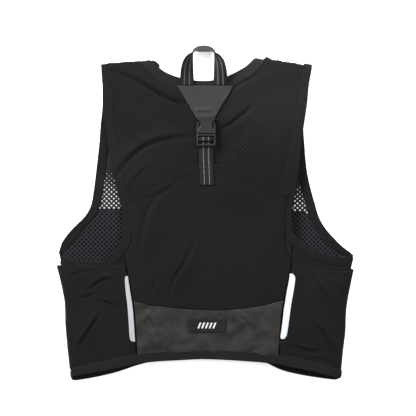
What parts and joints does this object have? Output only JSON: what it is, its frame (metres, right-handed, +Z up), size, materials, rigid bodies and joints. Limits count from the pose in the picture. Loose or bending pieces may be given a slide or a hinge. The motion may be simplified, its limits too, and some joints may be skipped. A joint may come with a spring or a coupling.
{
  "type": "running hydration vest",
  "caption": "Sleeveless running vest laid flat, back up, with mesh fronts, stretch pockets, webbing grab loop and a side-release buckle.",
  "frame": {"origin": "middle of the underside of the vest as it lies flat, front down", "axes": "+Y from the hem towards the shoulders and the grab loop, +Z up out of the back, +X to the right as seen from above"},
  "size_m": [0.414, 0.4676, 0.0253],
  "materials": {
    "back_cloth": "matt black knitted mesh",
    "stretch_cloth": "matt black stretch knit",
    "mesh_cloth": "open black mesh",
    "binding": "folded stretch binding, stitched",
    "ripstop": "dark grey ripstop, slightly shiny",
    "webbing": "woven webbing with light tracer lines",
    "coated_tab": "smooth coated tab, satin",
    "moulded": "moulded plastic, satin",
    "reflective": "light grey reflective film",
    "patch": "dark woven patch with light slanted bars, no lettering"
  },
  "bodies": {
    "root": {"front_panel_left": "mesh_cloth", "front_panel_right": "mesh_cloth", "front_zip": "moulded", "front_pocket_left": "stretch_cloth", "front_pocket_right": "stretch_cloth", "back_panel": "back_cloth", "side_panel_left": "stretch_cloth", "side_panel_right": "stretch_cloth", "side_pocket_left": "stretch_cloth", "side_pocket_right": "stretch_cloth", "back_pocket": "stretch_cloth", "lower_panel": "ripstop", "neck_binding": "binding", "armhole_binding_left": "binding", "armhole_binding_right": "binding", "hem_binding": "binding", "reflective_strip_left": "reflective", "reflective_strip_right": "reflective", "label_patch": "patch", "yoke_tab": "coated_tab", "handle_loop": "webbing", "closure_strap": "webbing", "buckle_socket": "moulded", "buckle_plug": "moulded"}
  },
  "joints": []
}
